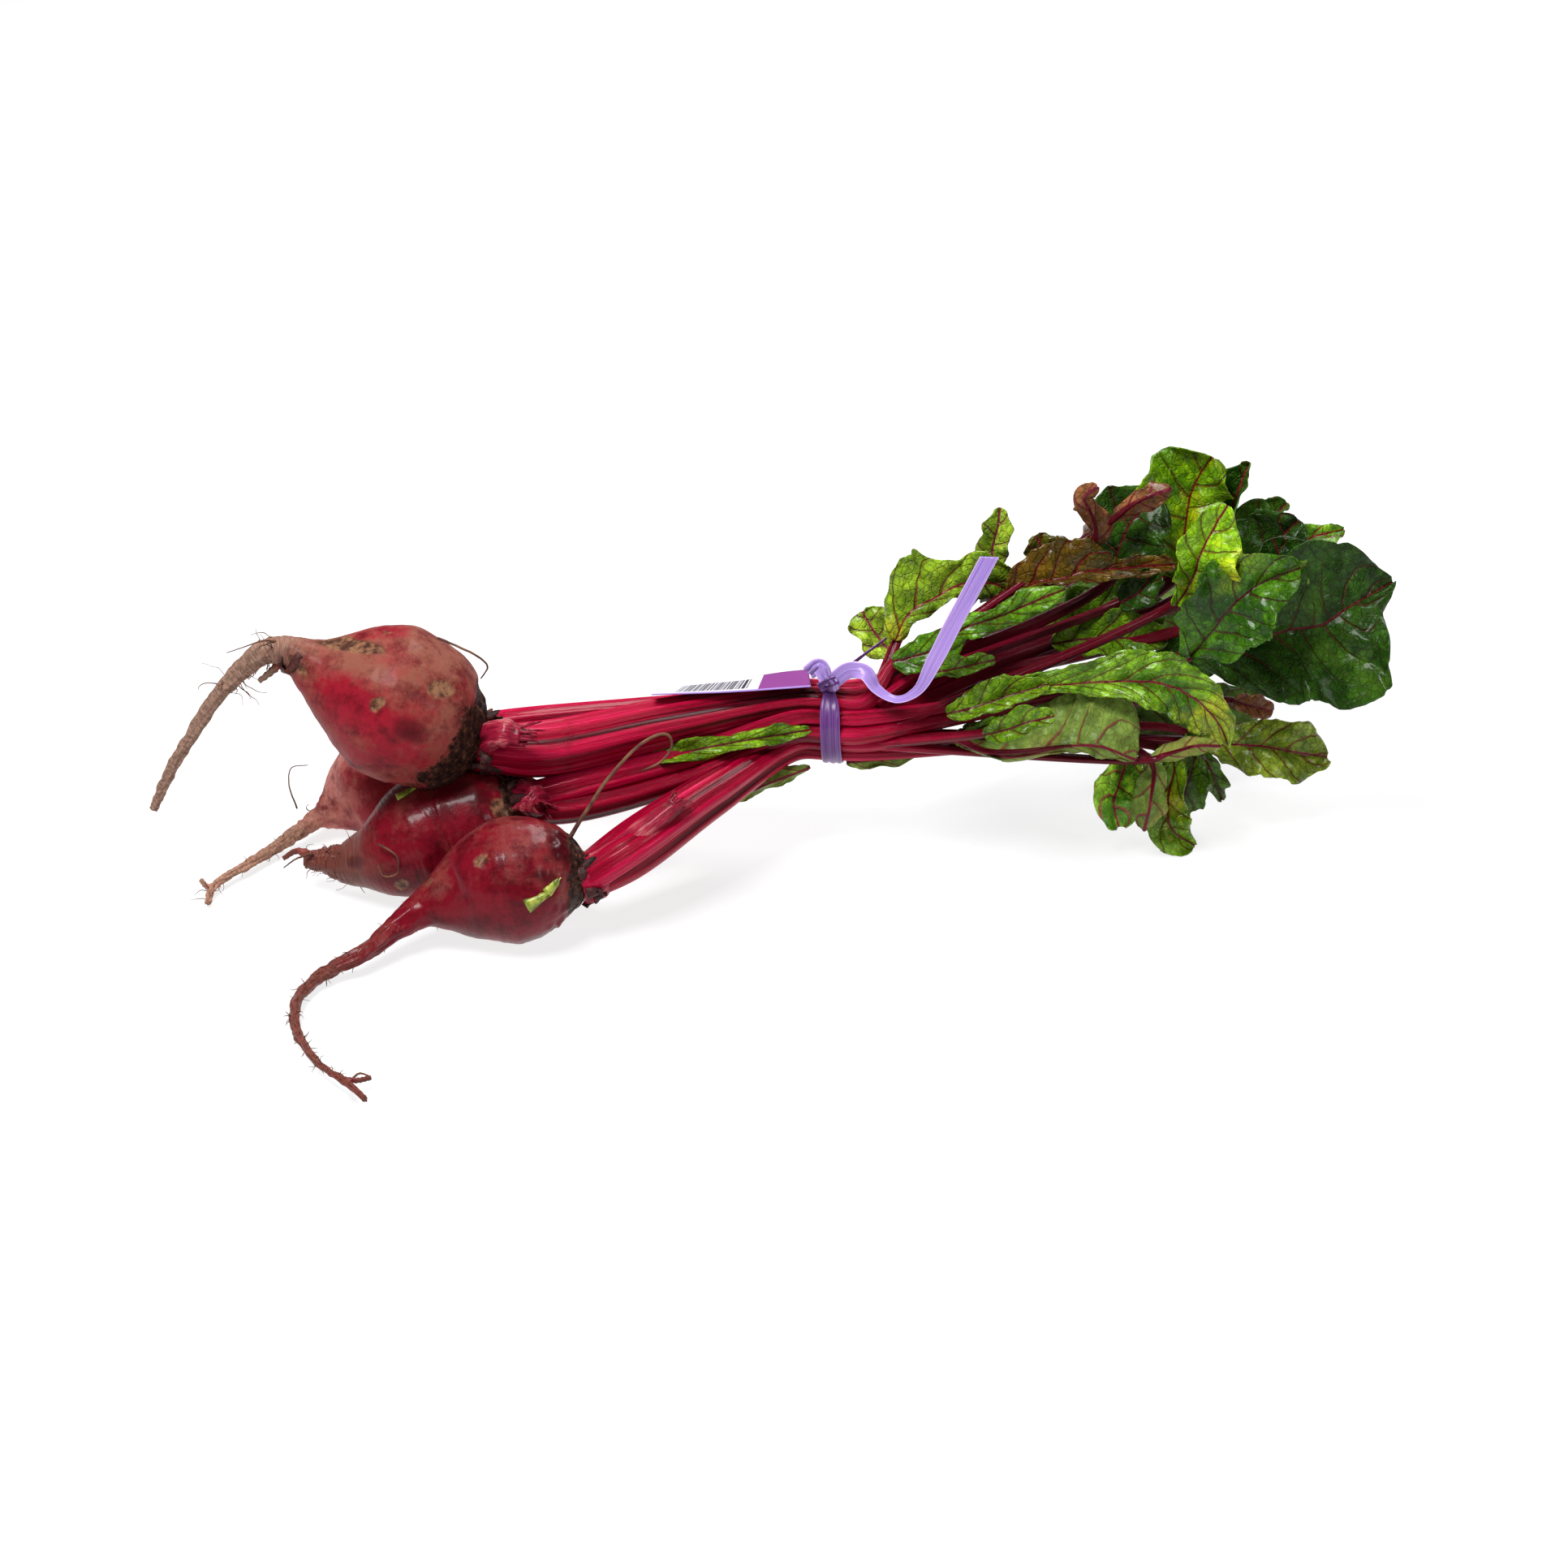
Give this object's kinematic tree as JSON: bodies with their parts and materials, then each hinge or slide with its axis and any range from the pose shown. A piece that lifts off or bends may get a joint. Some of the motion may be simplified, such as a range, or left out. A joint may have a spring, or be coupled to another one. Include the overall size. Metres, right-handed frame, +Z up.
{
  "type": "beetroot bunch",
  "caption": "Fresh beetroots tied in a bunch: round red roots with long tap roots, crimson stalks and crinkled green leaves, held by a ribbon with a small label.",
  "frame": {"origin": "centre of the overall box at the surface that the bunch lies on", "axes": "+X from the root tips to the leaves, the bunch's length; +Y away from the viewer; +Z up"},
  "size_m": [0.4734, 0.3146, 0.1449],
  "materials": {
    "skin_glossy": "satin, moist",
    "skin_dusty": "matt, dusty",
    "stalk": "glossy, ridged",
    "ribbon": "satin film",
    "label_card": "satin",
    "leaf_leaf": "glossy",
    "leaf_dark": "glossy",
    "leaf_lime": "glossy",
    "leaf_pale": "satin underside",
    "leaf_dry": "satin",
    "leaf_rust": "glossy"
  },
  "bodies": {
    "root": {"root_top": "skin_dusty", "root_back": "skin_dusty", "root_middle": "skin_glossy", "root_front": "skin_glossy", "stalks_top": "stalk", "stalks_middle": "stalk", "stalks_front": "stalk", "stalks_back": "stalk", "tie": "ribbon", "label": "label_card", "leaf_pale_front": "leaf_pale", "leaf_pale_roll": "leaf_pale", "leaf_lime_torn": "leaf_lime", "leaf_droop_pale": "leaf_pale", "leaf_droop_left": "leaf_leaf", "leaf_droop_tip": "leaf_lime", "leaf_long_front": "leaf_leaf", "leaf_right_big": "leaf_dark", "leaf_front_wide": "leaf_leaf", "leaf_blistered": "leaf_lime", "leaf_ribbon_side": "leaf_leaf", "leaf_gloss_lime": "leaf_lime", "leaf_mid_right": "leaf_dark", "leaf_inner_lime": "leaf_lime", "leaf_right_tag": "leaf_leaf", "leaf_autumn": "leaf_dry", "leaf_right_upper": "leaf_dark", "leaf_behind_mid": "leaf_lime", "leaf_small_round": "leaf_dark", "leaf_red_rib": "leaf_rust", "leaf_left_round": "leaf_leaf", "leaf_curled_tip": "leaf_dry", "leaf_flap": "leaf_dry", "leaf_small_lobe": "leaf_rust", "leaf_top_left": "leaf_dark", "leaf_top_leaf": "leaf_lime", "leaf_upright": "leaf_lime", "leaf_far_left": "leaf_lime", "leaf_low_right": "leaf_leaf", "leaf_finger_one": "leaf_dark", "leaf_finger_two": "leaf_dark", "leaf_back_right": "leaf_leaf", "leaf_back_wide": "leaf_leaf", "leaf_back_low": "leaf_dark", "leaf_back_left": "leaf_leaf", "leaf_strip": "leaf_lime", "leaf_under_left": "leaf_pale", "leaf_under_right": "leaf_pale"}
  },
  "joints": []
}
